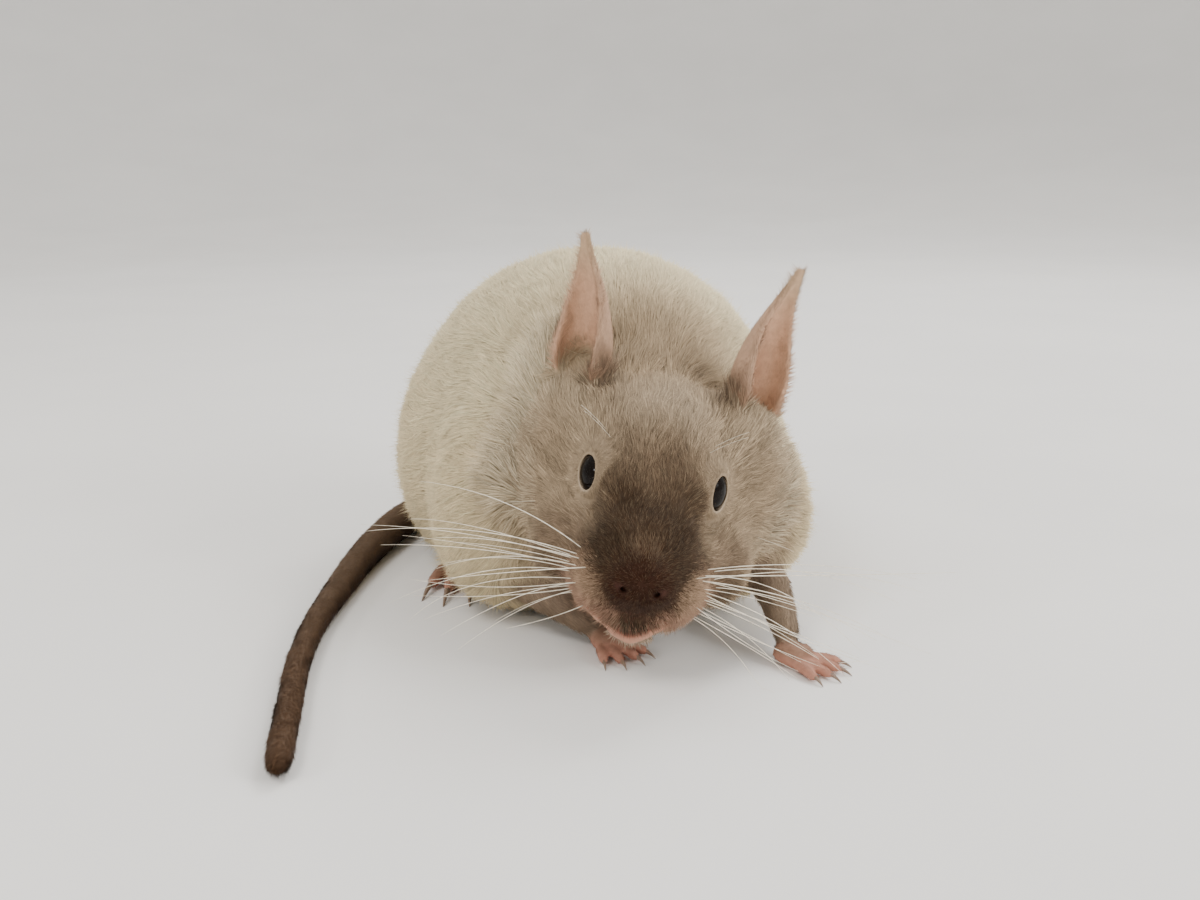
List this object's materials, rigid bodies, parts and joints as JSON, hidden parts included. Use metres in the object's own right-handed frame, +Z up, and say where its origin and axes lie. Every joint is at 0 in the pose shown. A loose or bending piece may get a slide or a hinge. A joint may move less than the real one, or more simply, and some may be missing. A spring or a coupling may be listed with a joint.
{
  "type": "degu",
  "caption": "Life-size still model of a crouching degu with its head low, its ears up, one forepaw under the chin and its tail laid forward beside it.",
  "frame": {"origin": "on the floor under the middle of the torso, on its flat belly", "axes": "+Z up; the animal faces -Y; its left side is +X"},
  "size_m": [0.1159, 0.1478, 0.0748],
  "materials": {
    "coat": "short soft grey-cream coat",
    "face_coat": "short dense grey-brown coat",
    "ear_skin": "thin matt skin",
    "paw_skin": "thin matt skin with fine hair",
    "tail_coat": "short close brown hair",
    "eye": "wet gloss"
  },
  "bodies": {
    "root": {"torso": "coat", "thigh_left": "coat", "thigh_right": "coat", "neck": "coat", "forearm_left": "coat", "forearm_right": "coat", "head": "face_coat", "ear_left": "ear_skin", "ear_right": "ear_skin", "eye_left": "eye", "eye_right": "eye", "forepaw_left": "paw_skin", "forepaw_right": "paw_skin", "hindfoot_left": "paw_skin", "hindfoot_right": "paw_skin", "tail_base": "tail_coat", "tail_middle": "tail_coat", "tail_end": "tail_coat"}
  },
  "joints": []
}
